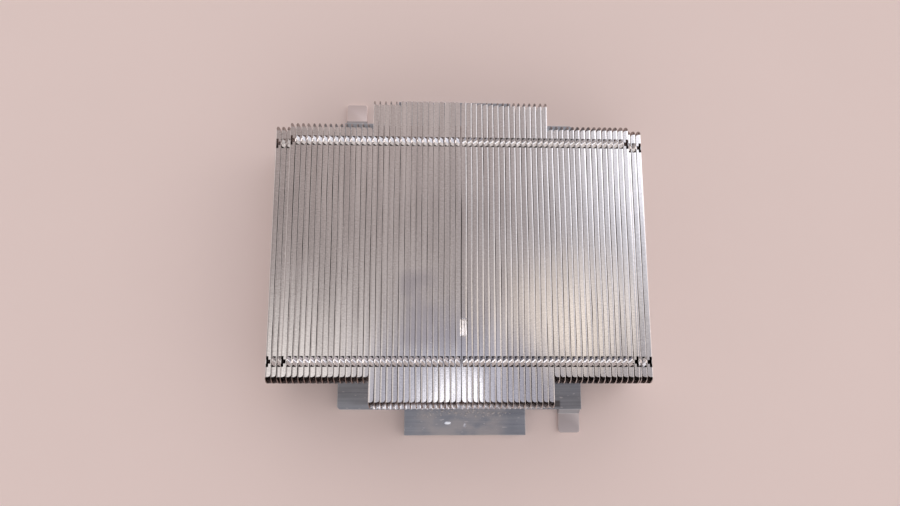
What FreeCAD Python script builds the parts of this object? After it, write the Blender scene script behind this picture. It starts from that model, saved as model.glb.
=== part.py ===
"""Passive 1U processor heatsink: a milled aluminium base plate that carries two mirrored stacks of
folded, interlocked sheet fins.  Millimetres.  +Z up, +Y along the air channels, X across the fins.
The origin lies on the underside of the base plate, half-way between the ends of its two clamp
flanges, on the seam where the left and right fin stacks meet."""
import FreeCAD, Part
import os
import Sketcher

doc = FreeCAD.newDocument("server_heatsink")

# ---------------------------------------------------------------------------------------------
# Driving dimensions
# ---------------------------------------------------------------------------------------------
DIMENSIONS = [
    # base plate
    ("plate_width", 78.1, "across the fins"),
    ("plate_length", 95.6, "along the fins, without the flanges"),
    ("plate_thickness", 3.0, "contact face to the bare top face"),
    ("plate_corner", 1.2, "radius of the two corners that have no ear"),
    ("plate_shift", 0.75, "centre of the plate, right of the seam between the stacks"),
    # clamp flanges, front and rear
    ("flange_width", 38.6, "across the fins"),
    ("flange_reach", 8.0, "beyond the end of the plate"),
    ("flange_shift", 1.55, "front flange off centre to the right, rear flange to the left"),
    # locating ears, front right and rear left
    ("ear_width", 6.9, "across the fins"),
    ("ear_reach", 7.4, "beyond the end of the plate"),
    ("ear_thickness", 1.2, "underside to the top of the ear"),
    ("ear_inset", 0.4, "side of the plate to the side of the ear"),
    ("ear_ramp", 1.4, "length of the slope from the plate down to the ear"),
    ("ear_corner", 1.0, "radius of the two outer corners"),
    # seat: the raised table that carries every fin
    ("seat_rise", 2.0, "top of the plate to the underside of the fins"),
    ("seat_margin", 0.8, "edge of the seat, inside the ends of the fins"),
    # fin stacks
    ("stack_shift", 0.45, "centre of the stacks, behind the centre of the plate"),
    ("fin_pitch", 1.673, "one fin to the next"),
    ("fin_clearance", 0.05, "free edge of a flange to the next sheet"),
    ("sheet_thickness", 0.3, "fin sheet"),
    ("stack_top", 26.5, "underside of the plate to the top of the fins"),
    ("outer_drop", 3.3, "top of the fins to the top of the outer fins"),
    ("side_length", 76.0, "flange length of the side and outer fins"),
    ("centre_length", 90.2, "flange length of the centre fins"),
    ("sheet_overrun", 1.9, "end of a flange to the end of its sheet"),
    ("flange_nose", 1.0, "corner cut off the free edge of a flange"),
    ("nose_run", 1.6, "corner cut off the sheet, along the fin"),
    ("nose_drop", 2.8, "corner cut off the sheet, down the fin"),
    # interlock between neighbouring fins
    ("lock_inset", 4.4, "end of a side flange to the middle of its row of locks"),
    ("window_length", 3.1, "opening at the fold, along the fin"),
    ("window_reach", 1.0, "opening at the fold, across the flange"),
    ("window_drop", 0.9, "opening at the fold, down the sheet"),
    ("tongue_clearance", 0.3, "each side of a tongue to its window, and its tip to the end of it"),
    ("tongue_dip", 0.3, "how far the tip of the tongue is pressed down"),
    # drawing aid
    ("overcut", 1.0, "how far the outline of each cut runs past the material"),
    # how many
    ("outer_count", 3, "outer fins in each stack"),
    ("side_count", 15, "side fins in each stack"),
    ("centre_count", 16, "centre fins in each stack"),
    ("group_count", 3, "side fins that share one file"),
]

sheet = doc.addObject("Spreadsheet::Sheet", "Dimensions")
for row, (alias, value, meaning) in enumerate(DIMENSIONS, start=1):
    sheet.set("A%d" % row, meaning)
    sheet.set("B%d" % row, str(value))
    sheet.setAlias("B%d" % row, alias)
doc.recompute()


def expression(text):
    """Text with @ before each alias, as an expression on the sheet."""
    return text.replace("@", "Dimensions.")


def value_of(text):
    """The present value of such a text."""
    return float(sheet.evalExpression(text.replace("@", "")))


def bind(thing, path, text):
    """Drive one property of an object from the sheet."""
    thing.setExpression(path, expression(text))


# ---------------------------------------------------------------------------------------------
# Bodies and sketches
# ---------------------------------------------------------------------------------------------
def add_sketch(body, name, role, outlines):
    """A sketch on one of the body's origin planes.  Each outline is a closed run of corners, and
    each corner is a pair of texts, its distances from the origin."""
    sketch = body.newObject("Sketcher::SketchObject", name)
    plane = next(item for item in body.Origin.OriginFeatures if item.Role == role)
    sketch.AttachmentSupport = [(plane, "")]
    sketch.MapMode = "FlatFace"
    for outline in outlines:
        first = sketch.GeometryCount
        corners = [FreeCAD.Vector(value_of(across), value_of(along), 0) for across, along in outline]
        for index, corner in enumerate(corners):
            following = corners[(index + 1) % len(corners)]
            sketch.addGeometry(Part.LineSegment(corner, following), False)
        for index, (across, along) in enumerate(outline):
            line = first + index
            following = first + (index + 1) % len(outline)
            sketch.addConstraint(Sketcher.Constraint("Coincident", line, 2, following, 1))
            for kind, text in (("DistanceX", across), ("DistanceY", along)):
                constraint = Sketcher.Constraint(kind, -1, 1, line, 1, value_of(text))
                number = sketch.addConstraint(constraint)
                bind(sketch, "Constraints[%d]" % number, text)
    return sketch


def add_pad(body, name, sketch, length, centred=False, merge_faces=True):
    """Material on one side of a sketch, or on both sides of it.  Faces that lie in one plane are
    merged unless told otherwise."""
    pad = body.newObject("PartDesign::Pad", name)
    pad.Profile = sketch
    pad.Midplane = centred
    pad.Refine = merge_faces
    bind(pad, "Length", length)
    return pad


def add_pocket(body, name, sketch, length=None):
    """A cut right through the body, or as deep as the length on the positive side of the sketch."""
    pocket = body.newObject("PartDesign::Pocket", name)
    pocket.Profile = sketch
    if length is None:
        pocket.Type = "ThroughAll"
        pocket.Midplane = True
    else:
        pocket.Reversed = True
        bind(pocket, "Length", length)
    return pocket


def rectangle(low_x, low_y, high_x, high_y):
    """The four corners of a rectangle."""
    return [(low_x, low_y), (high_x, low_y), (high_x, high_y), (low_x, high_y)]


def both_ends(outline):
    """An outline in (across, along) and its mirror image at the other end."""
    return [outline, [(across, "-(%s)" % along) for across, along in outline]]


def half_turn(outline):
    """An outline turned by half a turn about the sketch origin."""
    return [("-(%s)" % across, "-(%s)" % along) for across, along in outline]


def moved(outline, across, along):
    """An outline moved by two texts."""
    return [("%s + %s" % (x, across), "%s + %s" % (y, along)) for x, y in outline]


# ---------------------------------------------------------------------------------------------
# Base plate: one milled piece with flanges, ears and the seat for the fins
# ---------------------------------------------------------------------------------------------
PLATE_END = "@plate_length / 2"
PLATE_SIDE = "@plate_width / 2"
OUTER_SIDE = "(@centre_count + @side_count + @outer_count) * @fin_pitch"
CENTRE_SIDE = "@centre_count * @fin_pitch"


def upright_edges(shape, corners):
    """Names of the upright edges that stand at the given corners."""
    names = []
    for number, edge in enumerate(shape.Edges, start=1):
        low, high = edge.Vertexes[0].Point, edge.Vertexes[-1].Point
        upright = abs(low.x - high.x) + abs(low.y - high.y) < 1e-6
        for across, along in corners:
            place = FreeCAD.Vector(value_of(across), value_of(along), low.z)
            if upright and low.distanceToPoint(place) < 1e-6:
                names.append("Edge%d" % number)
    return names


def add_rounding(body, name, radius, corners):
    """A fillet of the upright edges at the given corners."""
    doc.recompute()
    sharp = body.Tip
    fillet = body.newObject("PartDesign::Fillet", name)
    fillet.Base = (sharp, upright_edges(sharp.Shape, corners))
    bind(fillet, "Radius", radius)
    return fillet


def make_base_plate():
    """Plate, ears, flanges and seat, drawn about the centre of the plate.  The top of each flange
    stays a face of its own, because a clamp bears on it."""
    body = doc.addObject("PartDesign::Body", "base_plate")
    body.Label = "base_plate"

    plate = rectangle("-@plate_width / 2", "-@plate_length / 2", PLATE_SIDE, PLATE_END)
    add_pad(body, "plate", add_sketch(body, "plate_outline", "XY_Plane", [plate]), "@plate_thickness")
    free_corner = (PLATE_SIDE, PLATE_END)
    add_rounding(body, "plate_rounding", "@plate_corner", [free_corner] + half_turn([free_corner]))

    ear_side = "(@plate_width / 2 - @ear_inset)"
    ear_end = "-(@plate_length / 2 + @ear_reach)"
    ear = rectangle(ear_side + " - @ear_width", ear_end, ear_side, "-@plate_length / 2")
    ears = add_sketch(body, "ear_outlines", "XY_Plane", [ear, half_turn(ear)])
    add_pad(body, "ears", ears, "@plate_thickness")
    slope_end = PLATE_END + " + @ear_ramp"
    beyond = PLATE_END + " + @ear_reach + @overcut"
    above = "@plate_thickness + @overcut"
    step = [(PLATE_END, "@plate_thickness"), (slope_end, "@ear_thickness"),
            (beyond, "@ear_thickness"), (beyond, above), (PLATE_END, above)]
    other_step = [("-(%s)" % along, height) for along, height in step]
    steps = add_sketch(body, "ear_steps", "YZ_Plane", [step, other_step])
    add_pocket(body, "ear_levels", steps)
    ear_corners = [(ear_side, ear_end), (ear_side + " - @ear_width", ear_end)]
    add_rounding(body, "ear_rounding", "@ear_corner", ear_corners + half_turn(ear_corners))

    flange = rectangle("-@flange_width / 2 + @flange_shift", "-(@plate_length / 2 + @flange_reach)",
                       "@flange_width / 2 + @flange_shift", "-@plate_length / 2")
    flanges = add_sketch(body, "flange_outlines", "XY_Plane", [flange, half_turn(flange)])
    add_pad(body, "flanges", flanges, "@plate_thickness", merge_faces=False)

    outer = "(%s - @seat_margin)" % OUTER_SIDE
    inner = "(%s - @seat_margin)" % CENTRE_SIDE
    short = "(@side_length / 2 + @sheet_overrun - @seat_margin)"
    full = "(@centre_length / 2 + @sheet_overrun - @seat_margin)"
    right_half = [(inner, "-" + full), (inner, "-" + short), (outer, "-" + short),
                  (outer, short), (inner, short), (inner, full)]
    left_half = [("-" + across, along) for across, along in reversed(right_half)]
    seat = moved(right_half + left_half, "(-@plate_shift)", "@stack_shift")
    seat_sketch = add_sketch(body, "seat_outline", "XY_Plane", [seat])
    seat_sketch.setExpression(".AttachmentOffset.Base.z", expression("@plate_thickness"))
    add_pad(body, "seat", seat_sketch, "@seat_rise", merge_faces=False)

    bind(body, ".Placement.Base.x", "@plate_shift")
    return body


# ---------------------------------------------------------------------------------------------
# Fins: a sheet folded over at the top and bottom, drawn with the outer face of the sheet at X = 0
# and the flanges towards +X
# ---------------------------------------------------------------------------------------------
FOOT = "(@plate_thickness + @seat_rise)"
FREE_EDGE = "(@fin_pitch - @fin_clearance)"
LOCK_SPACING = "(@side_length - 2 * @lock_inset)"


def make_fin_pattern(name, flange_length, top, has_tongues):
    """The master of one kind of fin, from which the fins of that kind are cloned."""
    body = doc.addObject("PartDesign::Body", name)
    body.Label = name
    foot_inside = FOOT + " + @sheet_thickness"
    top_inside = top + " - @sheet_thickness"
    section = [("0", FOOT), (FREE_EDGE, FOOT), (FREE_EDGE, foot_inside), ("@sheet_thickness", foot_inside),
               ("@sheet_thickness", top_inside), (FREE_EDGE, top_inside), (FREE_EDGE, top), ("0", top)]
    folded = add_sketch(body, name + "_section", "XZ_Plane", [section])
    add_pad(body, name + "_sheet", folded, flange_length + " + 2 * @sheet_overrun", centred=True)

    sheet_end = "(%s / 2 + @sheet_overrun)" % flange_length
    flange_end = "%s / 2" % flange_length
    beyond = sheet_end + " + @overcut"
    past_edge = FREE_EDGE + " + @overcut"
    end_cut = [("@sheet_thickness", flange_end), (FREE_EDGE + " - @flange_nose", flange_end),
               (FREE_EDGE, flange_end + " - @flange_nose"), (past_edge, flange_end + " - @flange_nose"),
               (past_edge, beyond), ("@sheet_thickness", beyond)]
    cuts = both_ends(end_cut)
    if has_tongues:
        tip = FREE_EDGE + " + (@fin_clearance + @window_reach - @tongue_clearance)"
        root = FREE_EDGE + " - @sheet_thickness"
        lip = [(root, top_inside), (FREE_EDGE, top_inside), (tip, top_inside + " - @tongue_dip"),
               (tip, top + " - @tongue_dip"), (FREE_EDGE, top), (root, top)]
        lip_sketch = add_sketch(body, name + "_tongue_section", "XZ_Plane", [lip])
        tongue_length = "(@window_length - 2 * @tongue_clearance)"
        add_pad(body, name + "_tongues", lip_sketch, LOCK_SPACING + " + " + tongue_length, centred=True)
        between = "(%s - %s) / 2" % (LOCK_SPACING, tongue_length)
        cuts.append(rectangle(FREE_EDGE, "-" + between, tip + " + @overcut", between))
    add_pocket(body, name + "_ends", add_sketch(body, name + "_end_cuts", "XY_Plane", cuts))

    over_top = top + " + @overcut"
    nose = [(sheet_end + " - @nose_run", top), (sheet_end, top + " - @nose_drop"),
            (beyond, top + " - @nose_drop"), (beyond, over_top), (sheet_end + " - @nose_run", over_top)]
    window = rectangle("(%s - @window_length) / 2" % LOCK_SPACING, top + " - @window_drop",
                       "(%s + @window_length) / 2" % LOCK_SPACING, over_top)
    front_and_rear = []
    for outline in (nose, window):
        front_and_rear.append(outline)
        front_and_rear.append([("-(%s)" % along, height) for along, height in outline])
    openings = add_sketch(body, name + "_openings", "YZ_Plane", front_and_rear)
    add_pocket(body, name + "_windows", openings, "@window_reach")
    return body


def place_fin(pattern, name, side, place):
    """A clone of a fin pattern.  Places are counted outwards from the seam, and the fins of the
    right stack are the same fins turned by half a turn."""
    fin = doc.addObject("PartDesign::Body", name)
    fin.Label = name
    copy = doc.addObject("PartDesign::FeatureBase", name + "_copy")
    copy.BaseFeature = pattern
    fin.Group = [copy]
    fin.Tip = copy
    turn = 0 if side == "left" else 180
    fin.Placement = FreeCAD.Placement(FreeCAD.Vector(), FreeCAD.Rotation(FreeCAD.Vector(0, 0, 1), turn))
    sign = "-" if side == "left" else ""
    bind(fin, ".Placement.Base.x", "%s@fin_pitch * %d" % (sign, place))
    bind(fin, ".Placement.Base.y", "@stack_shift")
    return fin


def group_fins(name, fins):
    """Several fins that share one file."""
    group = doc.addObject("Part::Compound", name)
    group.Label = name
    group.Links = fins
    return group


def make_stack(side, patterns):
    """All fins of one stack, from the seam outwards."""
    parts = []
    centre_count = round(value_of("@centre_count"))
    side_count = round(value_of("@side_count"))
    outer_count = round(value_of("@outer_count"))
    group_count = round(value_of("@group_count"))
    place = 0
    for number in range(1, centre_count + 1):
        place += 1
        pattern = patterns["seam" if number == 1 else "centre"]
        parts.append(place_fin(pattern, "%s_centre_fin_%02d" % (side, number), side, place))
    side_fins = []
    for number in range(1, side_count + 1):
        place += 1
        side_fins.append(place_fin(patterns["side"], "%s_side_fin_%02d" % (side, number), side, place))
    for number, start in enumerate(range(0, side_count, group_count), start=1):
        members = side_fins[start:start + group_count]
        parts.append(group_fins("%s_side_fins_%d" % (side, number), members))
    outer_fins = []
    for number in range(1, outer_count + 1):
        place += 1
        pattern = patterns["step" if number == 1 else "outer"]
        outer_fins.append(place_fin(pattern, "%s_outer_fin_%d" % (side, number), side, place))
    parts.append(group_fins("%s_outer_fins" % side, outer_fins))
    return parts


fin_patterns = {
    "seam": make_fin_pattern("seam_fin_pattern", "@centre_length", "@stack_top", False),
    "centre": make_fin_pattern("centre_fin_pattern", "@centre_length", "@stack_top", True),
    "side": make_fin_pattern("side_fin_pattern", "@side_length", "@stack_top", True),
    "step": make_fin_pattern("step_fin_pattern", "@side_length", "(@stack_top - @outer_drop)", False),
    "outer": make_fin_pattern("outer_fin_pattern", "@side_length", "(@stack_top - @outer_drop)", True),
}
parts = [make_base_plate()]
parts += make_stack("left", fin_patterns)
parts += make_stack("right", fin_patterns)
doc.recompute()

# ---------------------------------------------------------------------------------------------
# Checks and export
# ---------------------------------------------------------------------------------------------
for thing in doc.Objects:
    if "Invalid" in thing.State or "Error" in thing.State:
        raise RuntimeError("%s failed: %s" % (thing.Label, thing.State))
for part in parts:
    if part.Shape.isNull() or not part.Shape.isValid():
        raise RuntimeError("%s has no valid shape" % part.Label)

os.makedirs("parts", exist_ok=True)
for part in parts:
    part.Shape.exportStep("parts/%s.step" % part.Label)
print("%d parts, %.1f cm3" % (len(parts), sum(part.Shape.Volume for part in parts) / 1000))
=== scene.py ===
"""Looks of a low passive processor heatsink: two mirrored stacks of folded, interlocked sheet fins on
a milled base plate.  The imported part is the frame.  Each fin is drawn again as one folded sheet with
rounded folds, lock windows and tongues, and the base plate gets broken edges."""

import math

import bmesh
import bpy
import numpy as np
from mathutils import Matrix, Vector


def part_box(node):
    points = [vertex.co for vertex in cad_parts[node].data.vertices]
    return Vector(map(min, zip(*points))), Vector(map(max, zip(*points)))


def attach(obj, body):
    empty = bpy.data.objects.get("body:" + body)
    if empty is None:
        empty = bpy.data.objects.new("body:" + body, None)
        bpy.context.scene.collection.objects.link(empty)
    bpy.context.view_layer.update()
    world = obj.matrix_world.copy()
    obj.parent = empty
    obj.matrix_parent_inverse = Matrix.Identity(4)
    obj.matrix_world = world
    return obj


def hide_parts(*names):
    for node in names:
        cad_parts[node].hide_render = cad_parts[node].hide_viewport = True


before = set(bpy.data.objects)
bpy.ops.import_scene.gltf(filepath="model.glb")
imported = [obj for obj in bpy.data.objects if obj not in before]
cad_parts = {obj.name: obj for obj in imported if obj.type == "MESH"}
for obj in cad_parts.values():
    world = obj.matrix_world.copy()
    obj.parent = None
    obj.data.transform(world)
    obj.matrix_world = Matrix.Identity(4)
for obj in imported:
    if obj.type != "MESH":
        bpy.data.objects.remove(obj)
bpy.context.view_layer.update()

MM = 0.001

# ---------------------------------------------------------------------------------------------
# Sizes, in millimetres.  Places come from the frame.
# ---------------------------------------------------------------------------------------------
# The folded sheet
SHEET = 0.3                    # thickness of the sheet
FOLD_RADIUS = 0.19             # outside of each fold
FOLD_WALL = FOLD_RADIUS - 0.01  # thickness round a fold, whose inside is nearly sharp
CLEARANCE = 0.05               # free edge of a flange to the next sheet
SHEET_OVERRUN = 1.9            # end of a top flange to the end of its sheet
NOSE_DROP = 2.8                # height of the rounded corner of the sheet
CORNER_RUN = 1.3               # corner off the free edge of a top flange, along the fin
CORNER_REACH = 0.65            # the same, across the flange
SHEET_DEPTHS = (1.4, 2.0, NOSE_DROP, 5.0, 9.0, 13.0)  # lines of the grid, below the top

# The locks.  Each line across has its place and the name of the stretch that starts there.
LOCK_INSET = 4.4               # end of a side flange to the middle of its row of locks
LOCK_MARGIN = 2.2              # middle of a lock to the first plain row beside it
SLOT_HALF = 1.55               # half the long slot of a window, along the fin
CROSS_HALF = 0.6               # half the short slot of a window, along the fin
WINDOW_DROP = 0.9              # how far the short slot runs down the sheet
HEAD_HALF = 1.2                # half the head of a tongue, along the fin
NECK_HALF = 0.5                # half the neck of a tongue, along the fin
TONGUE_LINES = ((1.32, "tip"), (1.20, "head"), (0.9, "head"),
                (0.6, "head"), (0.28, "neck"), (0.12, "neck"))      # past the free edge
WINDOW_LINES = ((1.47, "cross"), (1.36, "wide"), (0.84, "slot"), (0.55, "slot"))  # from the sheet

# How a tongue is bent
TONGUE_STEP = 0.25             # stretch past the free edge in which it is pressed down
TONGUE_LENGTH = 1.3
TONGUE_MIDDLE = 0.78           # where on its length its slant leaves it in place
SLANT = 0.7                    # how far it leans along the fin for each millimetre it reaches
VALLEY_HALF = 0.3              # half the rounded bottom between its two barbs
VALLEY_DEPTH = 0.27            # how far that bottom lies below the flange
VALLEY_SLOPE = (0.037, 0.226)  # slope of the rear half of the bottom, in the front and rear row
BARB_RISE = {"left": (0.25, 0.226), "right": (0.25, 0.31)}  # slope of the front and the rear barb
DROOP = {"left": 0.0027, "right": 0.003}  # its slope for each millimetre from the seam of the stacks

# The ends of the fins
REAR_GAIN = 1.15               # how much further a flange that ends flush runs at the rear
REAR_OVERRUN = 0.3             # end of such a flange to the end of its sheet
REAR_SCALE = 0.975             # how much shorter a fin is behind its middle
CENTRE_EXTRA = 0.6             # how much of that a centre fin makes good at its rear end
FLUSH_WIDTH = 14.0             # width of the right stack over which the flush ends fade out
FOOT_REACH = 1.05              # how much further a centre fin stands out in front at its foot
FOOT_STEP = 1.2                # height above the foot over which the sheet runs out to it
FOOT_SLOPE = {"left": 0.0025, "right": 0.0}  # slope of a foot for each millimetre from the seam
CENTRE_LEAN = 0.45             # how far the front ends of the left centre fins lean
FRONT_LEAN = 0.1               # the same for all other fins
REAR_LEAN = 0.15               # the most that a rear end leans
LEAN_DEPTH = 7.0               # depth at which the lean has died out

# How the fins stand in the stack
GAP = 0.07                     # mean gap of a seam
GAP_WAVES = ((0.07, 9.0), (0.03, 23.0))   # height and length of its waves along the fin
TIGHT_WIDTH = 20.0             # width of the left stack whose seams are nearly shut
TIGHT_STRETCH = (17.0, 29.0)   # and the stretch along the fins
TIGHT_SHARE = 0.8              # how much of the gap is gone there
SINK = 0.009                   # mean sink of a free edge, and the height of its wave
SINK_WAVE = 14.0
OWN_TILT = 0.01                # the most that a fin is tilted more than its neighbours
BEND_DEPTH = 6.0               # depth at which gap and sink have died out
BOWS = ((0.06, 17.0, 11.0), (0.04, 7.3, -5.0))   # height, length along and length across
BOW_HEIGHT = 20.0              # height over which the bow of the stack grows
BOW_HALF = 56.0                # half the width outside of which the stack stands straight

# Painted shade, from 0 to 1: darkening painted on where the close sheets shade each other
FRONT_SHADE = {"left": 1.0, "right": 0.55}   # on the front ends of the sheets
REAR_SHADE = 0.9               # on their rear ends
RIM_SHADE = 0.3                # on the rims of the sheets deep down
FOOT_DARK = 4.0                # how far behind the end of the top flange a foot takes full painted shade
FOOT_BRIGHT = (1.15, 0.5)      # where its painted shade stops past that end: at the sheet, and added at the edge

STACKS = {"left": -1, "right": 1}
CENTRE_COUNT = 16
SIDE_GROUPS = 5
FINS_IN_GROUP = 3


def box_mm(node):
    """Lowest and highest corner of a node, in millimetres."""
    low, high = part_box(node)
    return np.array(low) / MM, np.array(high) / MM


PITCH = box_mm("left_centre_fin_02")[0][0] - box_mm("left_centre_fin_03")[0][0]
FLANGE = PITCH - CLEARANCE
SIDE_LOW, SIDE_HIGH = box_mm("left_side_fins_1")
STACK_CENTRE = (SIDE_LOW[1] + SIDE_HIGH[1]) / 2
SIDE_HALF = (SIDE_HIGH[1] - SIDE_LOW[1]) / 2
LOCK_PLACE = SIDE_HALF - SHEET_OVERRUN - LOCK_INSET


# ---------------------------------------------------------------------------------------------
# One fin
# ---------------------------------------------------------------------------------------------
def ramp(amount, start, length):
    """0 up to the start, 1 past the length after it, and a straight rise between."""
    return np.clip((amount - start) / length, 0, 1)


def smooth_noise(places, seed, wave):
    """A smooth line through random heights of -1 to 1, one at each wavelength: between two heights
    it is their cosine blend."""
    rng = np.random.default_rng(seed)
    heights = rng.uniform(-1, 1, 200)
    steps = places / wave + 100
    below = np.floor(steps).astype(int)
    part = (1 - np.cos((steps - below) * math.pi)) / 2
    return heights[below] * (1 - part) + heights[below + 1] * part


def sheet_line(top, foot):
    """The outside of the folded sheet as a line in (across, up), from the tip of the tongue to the
    free edge of the foot.  It is the tongue, the top flange, a quarter circle, the upright sheet,
    another quarter circle and the foot flange.  Each point has a name for the stretch that starts
    there and a thickness of wall, which is less round the tight folds."""
    points = [(FLANGE + reach, top, name) for reach, name in TONGUE_LINES]
    points.append((FLANGE, top, "edge"))
    points += [(across, top, name) for across, name in WINDOW_LINES]
    for angle in np.linspace(0, math.pi / 2, 5):
        across = FOLD_RADIUS * (1 - math.sin(angle))
        up = top - FOLD_RADIUS * (1 - math.cos(angle))
        stretch = "slot" if angle == 0 else "fold"
        points.append((across, up, stretch if angle < math.pi / 2 else "drop"))
    for depth in (WINDOW_DROP,) + SHEET_DEPTHS:
        points.append((0, top - depth, "sheet"))
    points.append((0, foot + FOOT_STEP, "sheet"))
    for angle in np.linspace(0, math.pi / 2, 4):
        across = FOLD_RADIUS * (1 - math.cos(angle))
        points.append((across, foot + FOLD_RADIUS * (1 - math.sin(angle)), "sheet"))
    points += [(FLANGE - CORNER_REACH, foot, "sheet"), (FLANGE, foot, "end")]
    across = np.array([point[0] for point in points])
    up = np.array([point[1] for point in points])
    near_fold = np.minimum(top - up, up - foot)
    is_fold = (across < FOLD_RADIUS + 0.001) & (near_fold < FOLD_RADIUS + 0.001)
    wall = np.where(is_fold, FOLD_WALL, SHEET)
    return across, up, [point[2] for point in points], wall


def straight_rows(half_length):
    """Places of the rows from the middle of the fin to the last one that is straight across: even
    steps up to the lock, the edges of the lock, and 3 mm steps past it."""
    half_lock = [0, VALLEY_HALF, NECK_HALF, CROSS_HALF, HEAD_HALF, SLOT_HALF, LOCK_MARGIN]
    lock = LOCK_PLACE + np.array([-place for place in half_lock[:0:-1]] + half_lock)
    inner = np.linspace(0, lock[0], 10)[:-1]
    outer = np.arange(lock[-1] + 3, half_length - 3, 3.0)
    return np.concatenate([inner, lock, outer])


def end_of_sheet(across, depth, height, flange_end, overrun, foot_reach):
    """Where the sheet ends along the fin, for each point of its line.  The top flange ends first and
    loses the corner at its free edge in most of a quarter ellipse, the upright sheet runs on past it
    in a quarter ellipse, and the foot ends almost square with it or reaches out further."""
    into_corner = ramp(across, FLANGE - CORNER_REACH, CORNER_REACH)
    corner = CORNER_RUN * (1 - np.sqrt(1 - 0.9 * into_corner ** 2))
    share = ramp(depth, 0, NOSE_DROP)
    nose = np.where(across < FOLD_RADIUS, overrun * np.sqrt(1 - (1 - share) ** 2), 0)
    foot = overrun * (1 - 0.15 * np.clip(across / FLANGE, 0, 1) ** 2)
    reach = foot_reach * (depth > height - FOLD_RADIUS - 0.01)
    return flange_end + reach + np.where(depth > height / 2, foot, nose - corner)


def places_along(line_across, line_depth, height, half_length, rear_end, fin):
    """The place of every point of the grid along the fin: the straight rows, and then rows at fixed
    shares of the rest of the way to the end of the sheet, in front and behind."""
    straight = straight_rows(half_length)
    shares = np.array([0.25, 0.5, 0.72, 0.86, 0.94, 1.0])
    front_end = half_length - SHEET_OVERRUN
    rear_overrun = SHEET_OVERRUN + fin["flush"] * (REAR_OVERRUN - SHEET_OVERRUN)
    halves = []
    for flange_end, overrun, reach in ((front_end, SHEET_OVERRUN, fin["foot_reach"]),
                                       (rear_end, rear_overrun, 0)):
        ends = end_of_sheet(line_across, line_depth, height, flange_end, overrun, reach)
        rest = straight[-1] + shares[None, :] * (ends[:, None] - straight[-1])
        halves.append(np.concatenate([np.repeat(straight[None, :], len(ends), 0), rest], axis=1))
    front, rear = halves
    return np.concatenate([-front[:, :0:-1], rear], axis=1)


def gap_of_seam(along, seed, is_tight):
    """How far a free edge stands back from the next sheet: a mean gap and two waves along the fin.
    Most of it is gone on the tight stretch of a tight seam, with two millimetres to fade in."""
    (short_height, short), (long_height, long) = GAP_WAVES
    gap = GAP + short_height * smooth_noise(along, seed, short)
    gap = gap + long_height * smooth_noise(along, seed + 1, long)
    if is_tight:
        start, end = TIGHT_STRETCH
        gap = gap * (1 - TIGHT_SHARE * ramp(along, start - 1, 2) * (1 - ramp(along, end - 1, 2)))
    return gap


def bend_of_tongue(along, past_edge, barbs):
    """How a tongue is bent: how far its slant moves it along the fin, and how high it stands.  Its
    bottom lies below the flange.  From there a barb rises in a straight slope towards each end of the
    fin, from lines that follow the slant, and the rear half of the bottom has a slope of its own."""
    slant = SLANT * (np.clip(past_edge, TONGUE_STEP, TONGUE_LENGTH) - TONGUE_MIDDLE)
    off_lock = np.where(along < 0, along + LOCK_PLACE, along - LOCK_PLACE)
    on_tongue = np.clip(off_lock, -HEAD_HALF, HEAD_HALF)
    front_barb, rear_barb = barbs
    is_valley = on_tongue < VALLEY_HALF + 0.01
    rear_slope = np.where(is_valley, np.where(along < 0, *VALLEY_SLOPE), rear_barb)
    rise = np.where(on_tongue < 0, front_barb * (slant - on_tongue - VALLEY_HALF),
                    rear_slope * (on_tongue - VALLEY_HALF - slant)) - VALLEY_DEPTH
    pressed = ramp(past_edge, 0, TONGUE_STEP)
    return pressed * slant, pressed * rise


def fin_grid(half_length, top, foot, seed, fin):
    """The outside of one fin on a grid: the line of the sheet across, and the rows along it.  The
    free edge stands back by the gap of its seam and sinks a little, the tongues are bent, the feet
    slope, and the ends of the upright sheet lean over."""
    line_across, line_up, names, wall = sheet_line(top, foot)
    front_end = half_length - SHEET_OVERRUN
    rear_end = front_end + fin["flush"] * REAR_GAIN + fin["extra"]
    along = places_along(line_across, top - line_up, top - foot, half_length, rear_end, fin)
    across = np.repeat(line_across[:, None], along.shape[1], 1)
    up = np.repeat(line_up[:, None], along.shape[1], 1)
    rows = np.abs(along[0])
    shade = painted_shade_of_fin(across, along, top - up, np.where(along < 0, front_end, rear_end), fin)

    from_seam = np.abs(fin["face"])
    past_edge = np.clip(across - FLANGE, 0, None)
    bent = np.clip(across / FLANGE, 0, 1) * (1 - ramp(top - up, 0, BEND_DEPTH))
    gap = gap_of_seam(along, seed, fin["tight"])
    sink = SINK + SINK * smooth_noise(along, seed + 2, SINK_WAVE)
    own_tilt = OWN_TILT * np.random.default_rng(seed + 3).uniform(0, 1)
    slant, rise = bend_of_tongue(along, past_edge, fin["barbs"])
    across = across - gap * bent * (past_edge == 0)
    along = along - slant
    up = up - (sink + own_tilt) * bent
    up = up + rise - fin["droop"] * from_seam * past_edge
    foot_rise = fin["foot_slope"] * from_seam * np.clip(FLANGE - across, 0, FLANGE)
    up = up + foot_rise * (up < foot + SHEET)

    beyond = ramp(np.abs(along), front_end, SHEET_OVERRUN)
    lean = np.where(along < 0, *fin["lean"])
    across = across + lean * beyond ** 1.3 * (1 - ramp(top - up, 0, LEAN_DEPTH))
    along = np.where(along > 0, REAR_SCALE * along, along)
    return np.stack([across, along, np.minimum(up, top)], axis=-1), names, rows, wall, shade


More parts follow.
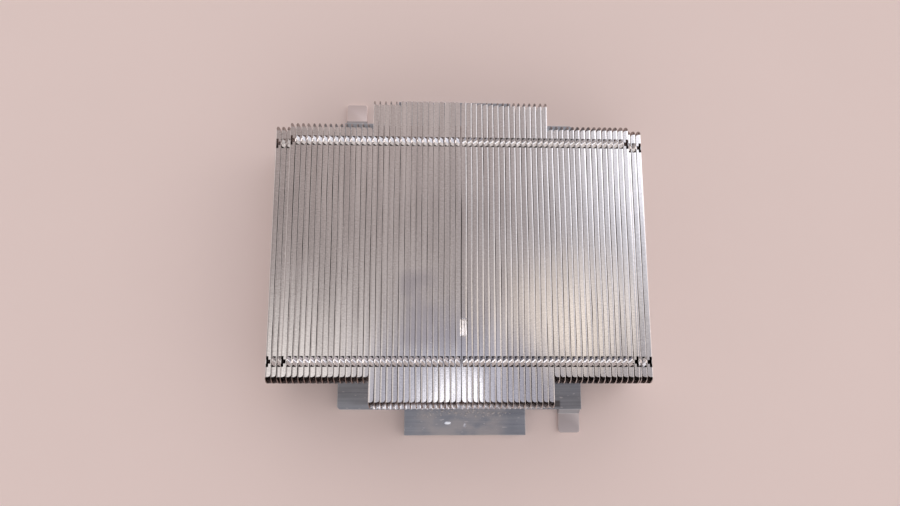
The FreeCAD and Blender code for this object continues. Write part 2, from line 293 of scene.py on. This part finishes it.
def painted_shade_of_fin(across, along, depth, flange_ends, fin):
    """How much painted shade each point gets, as 0 to 1, on the outside and on the inside of the sheet:
    colour that stands in for the shade the close sheets cast on each other.  It grows with the depth
    below the top, fades again lower down, and is full on the ends that stand out past the top flange and
    on the feet near them.  The rims far down, the ends of the feet and the outside of a sheet that ends
    a stack get little or none of it."""
    # painted shade: darker with depth between the sheets, and full on their ends past the top flange
    past_flange = np.abs(along) - flange_ends
    ends = ramp(past_flange, 0.05, 0.3) * np.where(along < 0, fin["front_shade"], REAR_SHADE)
    fade = 1 - 0.65 * ramp(depth, 6, 5)
    inside = np.maximum(ends, ramp(depth, 0.3, 2) * fade)
    inside[:, [0, -1]] = np.where(depth[:, [0, -1]] > 3.5, RIM_SHADE, inside[:, [0, -1]])
    is_open = np.abs(along) > fin["open_from"]
    outside = np.maximum(ends, ramp(depth, 0.35, 5) * fade)
    outside = np.where(is_open, ends * (depth < NOSE_DROP), outside)
    # painted shade on the feet near the front ends, and none on their far ends
    is_foot = depth > depth.max() - 0.01
    bright_from = FOOT_BRIGHT[0] + FOOT_BRIGHT[1] * across / FLANGE
    inside = np.where(is_foot & (past_flange > -FOOT_DARK), 1, inside)
    inside = np.where(is_foot & (past_flange > bright_from), 0, inside)
    return np.stack([outside, inside])


def kept_cells(names, rows, has_tongue, is_filled):
    """Which cells of the grid are metal: none past the free edge but the tongue, and none in the
    cross-shaped window, which is wider where a tongue fills it."""
    middle = (rows[1:] + rows[:-1]) / 2
    from_lock = np.abs(middle - LOCK_PLACE)
    everywhere = 1e9
    wide = SLOT_HALF if is_filled else CROSS_HALF
    limits = {"tip": (-1, NECK_HALF), "head": (-1, HEAD_HALF), "neck": (-1, NECK_HALF),
              "cross": (CROSS_HALF, everywhere), "wide": (wide, everywhere),
              "slot": (SLOT_HALF, everywhere), "fold": (CROSS_HALF, everywhere),
              "drop": (CROSS_HALF if is_filled else -1, everywhere),
              "edge": (-1, everywhere), "sheet": (-1, everywhere)}
    kept = np.zeros((len(names) - 1, len(middle)), bool)
    for index, name in enumerate(names[:-1]):
        least, most = limits[name]
        kept[index] = (from_lock > least) & (from_lock < most)
        if name in ("tip", "head", "neck") and not has_tongue:
            kept[index] = False
    return kept


def sheet_shell(outside, kept, wall, shade, names):
    """Both sides of the kept cells of a grid and the rim that joins them.  The inside is the outside
    moved back along its own normal by the wall, and a rim face stands wherever a kept cell has no
    neighbour.  The shade of the vertices comes along, and which faces are round, all but those of
    the tongue."""
    normal = np.cross(np.gradient(outside, axis=1), np.gradient(outside, axis=0))
    normal /= np.linalg.norm(normal, axis=-1, keepdims=True)
    both_sides = np.stack([outside, outside - wall[:, None, None] * normal])
    number = np.arange(outside.shape[0] * outside.shape[1]).reshape(outside.shape[:2])
    inside = number.size
    corners = [number[:-1, :-1], number[:-1, 1:], number[1:, 1:], number[1:, :-1]]
    framed = np.pad(kept, 1)
    neighbours = [framed[:-2, 1:-1], framed[1:-1, 2:], framed[2:, 1:-1], framed[1:-1, :-2]]
    cells = np.stack(corners, axis=-1)[kept]
    faces = [cells, cells[:, ::-1] + inside]
    is_round = np.repeat(~np.isin(names[:-1], ("tip", "head", "neck"))[:, None], kept.shape[1], 1)
    rounds = [is_round[kept], is_round[kept]]
    for side, neighbour in enumerate(neighbours):
        open_side = kept & ~neighbour
        start, end = corners[side][open_side], corners[(side + 1) % 4][open_side]
        faces.append(np.stack([end, start, start + inside, end + inside], axis=-1))
        rounds.append(is_round[open_side])
    used, faces = np.unique(np.concatenate(faces), return_inverse=True)
    vertices = both_sides.reshape(-1, 3)[used]
    return vertices, faces.reshape(-1, 4), shade.reshape(-1)[used], np.concatenate(rounds)


def stack_bow(across, along, up):
    """The lean of the whole stack: its tops stand off sideways in two long sine waves, which grow with
    the square of the height and die out at its outer sides."""
    near_top = ramp(up, SIDE_LOW[2], BOW_HEIGHT) ** 2
    wave = sum(height * np.sin(along / length + across / width) for height, length, width in BOWS)
    return wave * near_top * np.clip(1 - (np.abs(across) / BOW_HALF) ** 8, 0, 1)


def habits_of_fin(node, side, face, is_last, seed):
    """What tells one fin from the next: where its outside stands, how its tongues, ends and feet are
    formed, how much painted shade its front ends take, and from where on its outside lies open."""
    rng = np.random.default_rng(seed + 5)
    is_centre = "centre" in node
    is_outer = "outer" in node
    is_tight = side == "left" and -TIGHT_WIDTH < face
    front_lean = CENTRE_LEAN if side == "left" and is_centre else FRONT_LEAN
    lean = [front_lean * rng.uniform(0.75, 1.1), REAR_LEAN * rng.uniform(-1, 1)]
    open_from = 1e9
    if is_last and is_outer:
        lean[1] = max(0, lean[1])
        open_from = -1
    if node.endswith("centre_fin_%02d" % CENTRE_COUNT):
        open_from = SIDE_HALF
    flush = float(is_tight) if side == "left" else max(0, 1 - face / FLUSH_WIDTH)
    return {"face": face, "tight": is_tight, "flush": flush, "lean": lean, "open_from": open_from,
            "barbs": BARB_RISE[side], "droop": 0 if is_outer else DROOP[side],
            "foot_slope": FOOT_SLOPE[side], "foot_reach": FOOT_REACH * is_centre,
            "extra": CENTRE_EXTRA * is_centre, "front_shade": FRONT_SHADE[side]}


def faces_of_fins(node, count, sign):
    """Where the outside of each fin of a node stands, from the innermost to the outermost."""
    low, high = box_mm(node)
    outermost = high[0] if sign > 0 else low[0]
    return [outermost - sign * PITCH * place for place in range(count)][::-1]


def make_fins(node, side, count, starts_chain, seed):
    """One piece for a node: each of its fins as a folded sheet of even thickness.  The fins of the
    right stack are mirrored.  The first fin of a chain reaches for no neighbour, so it has no tongue,
    and the windows of the last one are empty."""
    low, high = box_mm(node)
    half_length, top, foot = (high[1] - low[1]) / 2, high[2], low[2]
    ends_chain = "outer" in node or node.endswith("side_fins_%d" % SIDE_GROUPS)
    vertices, faces, shades, rounds, total = [], [], [], [], 0
    for number, face in enumerate(faces_of_fins(node, count, STACKS[side])):
        is_last = number == count - 1
        has_tongue = not (starts_chain and number == 0)
        fin_seed = seed + 10 * number
        fin = habits_of_fin(node, side, face, is_last, fin_seed)
        points, names, rows, wall, shade = fin_grid(half_length, top, foot, fin_seed, fin)
        kept = kept_cells(names, rows, has_tongue, not (is_last and ends_chain))
        fin_vertices, fin_faces, fin_shade, fin_round = sheet_shell(points, kept, wall, shade, names)
        if side == "right":
            fin_vertices = fin_vertices * np.array([-1, 1, 1])
            fin_faces = fin_faces[:, ::-1]
        fin_vertices = fin_vertices + np.array([face, STACK_CENTRE, 0])
        fin_vertices[:, 0] += stack_bow(*fin_vertices.T)
        vertices.append(fin_vertices)
        faces.append(fin_faces + total)
        shades.append(fin_shade)
        rounds.append(fin_round)
        total += len(fin_vertices)
    piece = add_mesh(node + "_sheet", np.concatenate(vertices) * MM, np.concatenate(faces))
    piece.data.polygons.foreach_set("use_smooth", np.concatenate(rounds))
    layer = piece.data.attributes.new("shade", "FLOAT", "POINT")
    layer.data.foreach_set("value", np.concatenate(shades).astype(np.float32))
    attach(piece, "root")
    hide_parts(node)
    return piece


def add_mesh(name, vertices, faces):
    """A new object from arrays of vertices and four-sided faces, shaded smooth but for its sharp
    edges."""
    mesh = bpy.data.meshes.new(name)
    mesh.vertices.add(len(vertices))
    mesh.vertices.foreach_set("co", vertices.astype(np.float32).ravel())
    mesh.loops.add(faces.size)
    mesh.loops.foreach_set("vertex_index", faces.astype(np.int32).ravel())
    mesh.polygons.add(len(faces))
    mesh.polygons.foreach_set("loop_start", np.arange(0, faces.size, 4, dtype=np.int32))
    mesh.update(calc_edges=True)
    mesh.validate()
    mesh.set_sharp_from_angle(angle=math.radians(27))
    piece = bpy.data.objects.new(name, mesh)
    bpy.context.scene.collection.objects.link(piece)
    return piece


def build_fins():
    """Every fin of both stacks.  In each stack the centre and side fins are one chain, and the lower
    outer fins are another."""
    pieces = []
    for stack, side in enumerate(STACKS, 1):
        nodes = [("%s_centre_fin_%02d" % (side, number), 1) for number in range(1, CENTRE_COUNT + 1)]
        nodes += [("%s_side_fins_%d" % (side, number), FINS_IN_GROUP)
                  for number in range(1, SIDE_GROUPS + 1)]
        nodes.append(("%s_outer_fins" % side, FINS_IN_GROUP))
        for number, (node, count) in enumerate(nodes):
            starts_chain = number == 0 or "outer" in node
            pieces.append(make_fins(node, side, count, starts_chain, 10000 * stack + 100 * number))
    return pieces


# ---------------------------------------------------------------------------------------------
# Base plate
# ---------------------------------------------------------------------------------------------
def build_base():
    """The base plate of the frame, with its flat faces made whole and its edges broken."""
    mesh = bpy.data.meshes.new("base_plate_body")
    work = bmesh.new()
    work.from_mesh(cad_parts["base_plate"].data)
    bmesh.ops.remove_doubles(work, verts=work.verts, dist=0.002 * MM)
    bmesh.ops.dissolve_limit(work, angle_limit=math.radians(1), verts=work.verts, edges=work.edges)
    work.to_mesh(mesh)
    work.free()
    piece = bpy.data.objects.new("base_plate_body", mesh)
    bpy.context.scene.collection.objects.link(piece)
    mesh.set_sharp_from_angle(angle=math.radians(40))
    edge = piece.modifiers.new("broken edges", "BEVEL")
    edge.width = 0.16 * MM
    edge.segments = 2
    edge.limit_method = "ANGLE"
    edge.angle_limit = math.radians(40)
    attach(piece, "root")
    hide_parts("base_plate")
    return piece


# ---------------------------------------------------------------------------------------------
# Shader maths
# ---------------------------------------------------------------------------------------------
class Value:
    """A number socket of a node tree.  Sums, products and powers of values add Math nodes."""

    def __init__(self, paint, socket):
        self.paint = paint
        self.socket = socket

    def maths(self, operation, *others):
        return self.paint.node("ShaderNodeMath", {"operation": operation},
                               [self] + list(others)).value()

    def __add__(self, other):
        return self.maths("ADD", other)

    __radd__ = __add__

    def __sub__(self, other):
        return self.maths("SUBTRACT", other)

    def __rsub__(self, other):
        return self.paint.number(other).maths("SUBTRACT", self)

    def __mul__(self, other):
        return self.maths("MULTIPLY", other)

    __rmul__ = __mul__

    def __truediv__(self, other):
        return self.maths("DIVIDE", other)

    def __pow__(self, other):
        return self.maths("POWER", other)

    def clamped(self):
        return self.maths("MAXIMUM", 0.0).maths("MINIMUM", 1.0)

    def size(self):
        return self.maths("ABSOLUTE")

    def part(self):
        """What is left after the whole steps are taken off, from 0 to 1."""
        return self.maths("FRACT")

    def step(self, low, high):
        """0 below low, 1 above high and a smooth rise between them."""
        spread = self.paint.node("ShaderNodeMapRange", {"interpolation_type": "SMOOTHSTEP"},
                                 {"Value": self, "From Min": low, "From Max": high})
        return spread.value("Result")


class Node:
    """One node, with its outputs at hand."""

    def __init__(self, paint, node):
        self.paint = paint
        self.node = node

    def out(self, name=0):
        return self.node.outputs[name]

    def value(self, name=0):
        return Value(self.paint, self.node.outputs[name])


class Paint:
    """A node tree that is being drawn."""

    def __init__(self, tree):
        self.tree = tree
        self.tree.nodes.clear()

    def node(self, kind, settings=None, inputs=None):
        """A node of a kind, with its settings set first and then the values or links of its
        sockets, by name or in order."""
        node = self.tree.nodes.new(kind)
        for name, setting in (settings or {}).items():
            setattr(node, name, setting)
        pairs = inputs.items() if isinstance(inputs, dict) else enumerate(inputs or [])
        for name, source in pairs:
            socket = node.inputs[name]
            if isinstance(source, Value):
                self.tree.links.new(source.socket, socket)
            elif isinstance(source, bpy.types.NodeSocket):
                self.tree.links.new(source, socket)
            else:
                socket.default_value = source
        return Node(self, node)

    def number(self, amount):
        return self.node("ShaderNodeMath", {"operation": "ADD"}, [amount, 0.0]).value()

    def blend(self, share, first, second, kind="MIX"):
        """Two colours blended by a share.  A plain colour is red, green and blue."""
        first, second = [tint + (1,) if isinstance(tint, tuple) else tint for tint in (first, second)]
        mix = self.node("ShaderNodeMix", {"data_type": "RGBA", "blend_type": kind, "clamp_factor": True},
                        {0: share, 6: first, 7: second})
        return mix.out(2)

    def towards(self, looking, turn, rise):
        """How nearly a direction is the one at so many degrees from +X towards +Y and so many above
        the floor: the cosine of the angle between them."""
        turn, rise = math.radians(turn), math.radians(rise)
        aim = (math.cos(rise) * math.cos(turn), math.cos(rise) * math.sin(turn), math.sin(rise))
        return self.node("ShaderNodeVectorMath", {"operation": "DOT_PRODUCT"},
                         [looking, aim]).value("Value")


def start_material(name):
    """An empty material, a maker of noise and the place on the part in millimetres, across and along.
    The noise takes how many waves it has for each millimetre across, along and up."""
    material = bpy.data.materials.new(name)
    material.use_nodes = True
    paint = Paint(material.node_tree)
    place = paint.node("ShaderNodeTexCoord").out("Object")

    def scaled(x, y, z):
        return paint.node("ShaderNodeVectorMath", {"operation": "MULTIPLY"},
                          [place, (x / MM, y / MM, z / MM)]).out()

    def noise(x, y, z, detail=2.0, roughness=0.5):
        return paint.node("ShaderNodeTexNoise", {"noise_dimensions": "3D"},
                          {"Vector": scaled(x, y, z), "Scale": 1.0, "Detail": detail,
                           "Roughness": roughness}).value("Fac")

    parts = paint.node("ShaderNodeSeparateXYZ", None, [scaled(1, 1, 1)])
    return material, paint, noise, parts.value("X"), parts.value("Y")


def finish_material(paint, colour, roughness, metallic, relief=None):
    """The shader and the output.  The relief is in thousandths of a millimetre."""
    inputs = {"Base Color": colour, "Roughness": roughness, "Metallic": metallic}
    if relief is not None:
        bump = paint.node("ShaderNodeBump", None,
                          {"Strength": 1.0, "Distance": 0.001 * MM, "Height": relief})
        inputs["Normal"] = bump.out()
    shader = paint.node("ShaderNodeBsdfPrincipled", None, inputs)
    paint.node("ShaderNodeOutputMaterial", None, {"Surface": shader.out("BSDF")})


def patch(across, along, centre, half):
    """1 inside a soft oblong patch and 0 outside."""
    far_x = ((across - centre[0]) / half[0]).size()
    far_y = ((along - centre[1]) / half[1]).size()
    return (1 - far_x.step(0.7, 1.1)) * (1 - far_y.step(0.7, 1.1))


def blot(across, along, centre, half):
    """1 in the middle of a round patch, falling to 0 at its edge."""
    far_x = (across - centre[0]) / half[0]
    far_y = (along - centre[1]) / half[1]
    return (1 - far_x * far_x - far_y * far_y).clamped()


# ---------------------------------------------------------------------------------------------
# Finishes.  Each mark has its middle and its half width and length, in millimetres.
# ---------------------------------------------------------------------------------------------
SCRAPE = ((0.7, -23.3), (1.1, 2.5))          # by the seam of the stacks
DARK_REFLECTION = ((-9.5, -18.0), (9.5, 12.0))        # painted dark reflection on the left tops
LAMP_HALO = ((1.0, -52.0), (15.0, 6.0))        # painted warm halo of the lamp's reflection on the front flange of the base
CRUMBS = ((2.0, -48.6), (16.0, 2.2))         # in front of the feet
STAIN = ((31.5, -46.0), (1.6, 1.1))
LONG_GLINT = ((-3.2, -52.0), (1.7, 0.7))     # polished spots of the front flange
SHORT_GLINT = ((2.2, -52.7), (0.6, 1.0))
EAR_FROM = (49.1, 49.3)                      # distance along at which an ear turns flat
SLOPE_FROM = (47.7, 47.9)                    # and at which the slope down to it starts
EAR_SIDE = (24.0, 25.0)                      # distance across from which there are ears

BARE, BRIGHT, WORN = (0.78, 0.765, 0.76), (1.0, 0.99, 0.985), (0.98, 0.98, 0.99)
# painted brown shade for the fins, and the tone of a painted dark reflection
PAINTED_SHADE_BROWN, DARK_REFLECTION_TONE = (0.235, 0.165, 0.14), (0.64, 0.63, 0.67)
# the plate's own two tones, and a painted warm halo of the lamp's reflection
MILLED, MILLED_PALE, LAMP_HALO_TINT = (0.315, 0.34, 0.38), (0.45, 0.48, 0.52), (0.62, 0.575, 0.54)
SCRATCHED, SLOPED, STAINED = (0.85, 0.83, 0.82), (0.40, 0.41, 0.43), (0.12, 0.11, 0.11)
# the rear ear tone is painted lighter and warmer than the front one, as the rear ears are more lit
FRONT_EAR, REAR_EAR_LIT = (0.64, 0.60, 0.61), (0.82, 0.73, 0.72)
CARD, CARD_PALE = (0.96, 0.835, 0.80), (0.99, 0.86, 0.825)


def fin_material():
    """Bare rolled aluminium sheet: fine lines along the fin, a grey film that changes from fin to fin,
    painted brown shade taken from the shade attribute of the mesh, a painted dark reflection on the left
    tops, a scraped place by the seam and a few flecks."""
    material, paint, noise, across, along = start_material("fin_sheet")
    film = noise(0.6, 0.02, 0.3)
    cloud = noise(0.05, 0.05, 0.05, 3.0)
    rolling = noise(3.5, 0.06, 3.0, 2.0, 0.6)
    chatter = noise(1.1, 2.3, 2.3, 2.0, 0.6)
    speckle = noise(2.6, 2.6, 2.6, 1.0)
    fleck = noise(1.6, 1.1, 1.0, 1.0).step(0.78, 0.81)
    streaks = noise(4.0, 0.3, 1.0)
    worn = patch(across, along, *SCRAPE) * streaks.step(0.33, 0.48)
    cut = (across * 2.6 + streaks * 1.5).part() * -96 + (along * 0.9).part() * -130
    # painted reflection: a darker bluish-grey patch on the left tops
    dark_reflection = patch(across, along, *DARK_REFLECTION) * cloud.step(0.3, 0.55)
    # painted shade: the shade attribute of the mesh darkens the sheets towards brown
    painted_shade = paint.node("ShaderNodeAttribute", {"attribute_name": "shade"}).value("Fac")
    tone = (film * 0.38 + cloud * 0.17 + chatter * 0.22 + speckle * 0.23).step(0.38, 0.62)
    colour = paint.blend(tone, BARE, BRIGHT)
    colour = paint.blend(painted_shade * 0.9, colour, PAINTED_SHADE_BROWN)
    colour = paint.blend(dark_reflection * 0.75, colour, DARK_REFLECTION_TONE)
    colour = paint.blend(worn + fleck, colour, WORN)
    roughness = 0.09 + 0.05 * film + 0.06 * dark_reflection + 0.15 * worn + 0.1 * painted_shade + 0.12 * fleck
    relief = rolling * 1.5 + chatter * 1.2 + speckle * 0.6 + cloud * 30.0 + worn * cut
    finish_material(paint, colour, roughness, 1.0, relief)
    return material


def base_material():
    """Milled plate: brushed across, with a few scratches; on the front flange a painted warm halo of the
    lamp's reflection, bright crumbs along the feet and two polished spots; a stain; ears of a paler matt
    finish below a darker slope, the rear ones painted lighter and warmer as they are more lit."""
    material, paint, noise, across, along = start_material("base_plate_finish")
    brushed = noise(0.025, 1.7, 1.7, 4.0, 0.65)
    fine = noise(0.12, 7.0, 7.0, 2.0, 0.6)
    cloud = noise(0.16, 0.25, 0.2, 3.0)
    grain = noise(5.0, 5.0, 5.0)
    scratch = noise(0.5, 1.6, 1.0, 1.0).step(0.69, 0.72)
    at_side = across.size().step(*EAR_SIDE)
    ear = along.size().step(*EAR_FROM) * at_side
    slope = along.size().step(*SLOPE_FROM) * at_side * (1 - ear)
    # painted reflection: a warm halo round the lamp's glint on the front flange
    lamp_halo = patch(across, along, *LAMP_HALO) * cloud.step(0.25, 0.65)
    crumbs = noise(1.3, 1.3, 1.3).step(0.58, 0.64) * patch(across, along, *CRUMBS)
    stain = patch(across, along, *STAIN)
    polished = blot(across, along, *LONG_GLINT) + blot(across, along, *SHORT_GLINT)
    polished = (polished - grain * 0.9).step(0.05, 0.3)
    tone = (brushed * 0.8 + cloud * 0.4 - 0.1).step(0.25, 0.75)
    colour = paint.blend(tone, MILLED, MILLED_PALE)
    colour = paint.blend(lamp_halo * 0.6, colour, LAMP_HALO_TINT)
    colour = paint.blend(scratch * 0.5 + crumbs * 0.7, colour, SCRATCHED)
    colour = paint.blend(slope * 0.6, colour, SLOPED)
    colour = paint.blend(ear, colour, FRONT_EAR)
    # painted light: the rear ears are drawn lighter and warmer than the front ones
    colour = paint.blend(ear * along.step(0, 1), colour, REAR_EAR_LIT)
    colour = paint.blend(stain * 0.8, colour, STAINED)
    roughness = 0.24 + 0.10 * brushed + 0.22 * ear + 0.1 * slope + 0.15 * crumbs - 0.2 * polished
    relief = brushed * 5.0 + fine * 1.5 + cloud * 40.0 + scratch * 3.0 + crumbs * 25.0
    finish_material(paint, colour, roughness, 1.0, relief + grain * ear * 3.0)
    return material


def floor_material():
    """Pale matt card with a slow change of tone."""
    material, paint, noise, _, _ = start_material("pale_card")
    fibre = noise(0.02, 0.02, 0.02, 3.0)
    finish_material(paint, paint.blend(fibre, CARD, CARD_PALE), 0.85, 0.0)
    return material


# ---------------------------------------------------------------------------------------------
# Room, lamp, floor and camera
# ---------------------------------------------------------------------------------------------
# Tones of the room at the left and the right of the part, near the floor and halfway up, and
# overhead
ROOM_LOW = ((1.04, 0.93, 0.90), (1.12, 1.01, 0.98))
ROOM_MIDDLE = ((0.69, 0.62, 0.60), (0.93, 0.86, 0.84))
ROOM_TOP = (0.295, 0.253, 0.248)
ROOM_SEEN = (0.78, 0.70, 0.675)   # what the camera sees past the floor

# Wide glows: turn from +X towards +Y and rise, in degrees, narrowness and brightness
GLOWS = (
    (38, 58, 80, (1.46, 1.49, 1.62)),
    (25.5, 65, 40, (0.14, 0.17, 0.22)),
    (8, 28, 20, (0.95, 0.80, 0.74)),
    (202, 83.9, 80, (0.37, 0.355, 0.345)),
    (180, 78.7, 250, (0.36, 0.35, 0.335)),
    (-90, 65, 250, (0.38, 0.35, 0.42)),
    (100, 62, 30, (0.16, 0.12, 0.11)),
)

# Shapes overhead.  Each has its middle and its half width and length, as distances across and along
# for each metre of height, and a tone.
CEILING = ((0.055, 0.15), (0.17, 0.6))
CEILING_TONE = (0.045, 0.042, 0.042)
PANEL = ((0.215, 0.045), (0.14, 0.16))
PANEL_TONE = (0.64, 0.55, 0.44)
DOORWAY = ((0.03, -0.66), (0.22, 0.17))
DOORWAY_TONE = (0.10, 0.105, 0.15)
SHADE_PLACE = (-49, 85.5)         # turn and rise of a round dark lampshade
SHADE_TONE, SHADE_RING = (0.13, 0.14, 0.18), (0.30, 0.29, 0.35)

# The lamp, in metres, degrees and watts
LAMP_PLACE = (0.056, -0.12, 1.6)
LAMP_SIZE = (0.055, 0.18)
LAMP_TURN = -16
LAMP_POWER = 0.052
LAMP_COLOUR = (1.0, 0.98, 0.97)

FLOOR_HALF = 3.0                  # metres

# The camera, in millimetres
CAMERA_PLACE = (-10.91, -36.99, 223.87)
CAMERA_AIM = (-2.35, 3.46, 0.0)
CAMERA_LENS = 27.04
CAMERA_SENSOR = 36


def build_world():
    """A soft room: three tones by height with wide glows that fade smoothly, a pale panel overhead
    with a slanting right edge, a dark doorway behind the camera and a dark lampshade."""
    world = bpy.data.worlds.new("soft_room")
    bpy.context.scene.world = world
    world.use_nodes = True
    paint = Paint(world.node_tree)
    looking = paint.node("ShaderNodeTexCoord").out("Generated")
    parts = paint.node("ShaderNodeSeparateXYZ", None, [looking])
    height, sideways = parts.value("Z"), parts.value("X").step(-0.6, 0.7)
    room = paint.blend(height.step(0.2, 0.5), paint.blend(sideways, *ROOM_LOW),
                       paint.blend(sideways, *ROOM_MIDDLE))
    room = paint.blend(height.step(0.55, 0.91), room, ROOM_TOP)
    for turn, rise, narrowness, brightness in GLOWS:
        glow = paint.towards(looking, turn, rise).maths("MAXIMUM", 0.0) ** narrowness
        room = paint.blend(glow, room, brightness, "ADD")

    above = height.maths("MAXIMUM", 0.1)
    across, along = parts.value("X") / above, parts.value("Y") / above
    is_above = height.step(0.0, 0.1)
    room = paint.blend(patch(across, along, *CEILING) * is_above, room, CEILING_TONE, "ADD")
    panel = blot(across, along, *PANEL) * along.step(-0.01, 0.035)
    panel = panel * (1 - (across - along * 0.6).step(0.235, 0.285))
    room = paint.blend(panel * is_above, room, PANEL_TONE, "ADD")
    doorway = blot(across, along, *DOORWAY).step(0.0, 0.6) * is_above
    room = paint.blend(doorway * 0.85, room, DOORWAY_TONE)
    shade = paint.towards(looking, *SHADE_PLACE)
    room = paint.blend(shade.step(0.984, 0.996) * 0.9, room, SHADE_RING)
    room = paint.blend(shade.step(0.990, 0.9995), room, SHADE_TONE, "ADD")
    seen = paint.node("ShaderNodeLightPath").value("Is Camera Ray")
    room = paint.blend(seen, room, ROOM_SEEN)
    shader = paint.node("ShaderNodeBackground", None, {"Color": room, "Strength": 1.0})
    paint.node("ShaderNodeOutputWorld", None, {"Surface": shader.out()})


def build_lamp():
    """An oblong soft lamp that faces down."""
    data = bpy.data.lights.new("overhead_lamp", "AREA")
    data.shape = "RECTANGLE"
    data.size, data.size_y = LAMP_SIZE
    data.energy = LAMP_POWER
    data.color = LAMP_COLOUR
    lamp = bpy.data.objects.new("overhead_lamp", data)
    lamp.location = LAMP_PLACE
    lamp.rotation_euler = (0, 0, math.radians(LAMP_TURN))
    bpy.context.scene.collection.objects.link(lamp)


def build_floor():
    """A large flat card under the part."""
    corners = FLOOR_HALF * np.array([(-1, -1, 0), (1, -1, 0), (1, 1, 0), (-1, 1, 0)])
    floor = add_mesh("floor", corners, np.array([[0, 1, 2, 3]]))
    floor.data.materials.append(floor_material())


def build_camera():
    """A short lens close above the part, a little in front of its middle and to its left, with the
    rear of the part at the top of the picture."""
    data = bpy.data.cameras.new("camera")
    data.sensor_width = CAMERA_SENSOR
    data.lens = CAMERA_LENS
    data.clip_start = 0.01
    camera = bpy.data.objects.new("camera", data)
    place = Vector(CAMERA_PLACE) * MM
    forward = (Vector(CAMERA_AIM) * MM - place).normalized()
    right = forward.cross(Vector((0, 1, 0))).normalized()
    turn = Matrix((right, right.cross(forward), -forward)).transposed()
    camera.matrix_world = Matrix.Translation(place) @ turn.to_4x4()
    bpy.context.scene.collection.objects.link(camera)
    bpy.context.scene.camera = camera


bpy.context.scene.view_settings.view_transform = "Standard"
build_camera()
build_world()
build_lamp()
build_floor()

sheet_finish = fin_material()
for fin_piece in build_fins():
    fin_piece.data.materials.append(sheet_finish)
base_piece = build_base()
base_piece.data.materials.append(base_material())
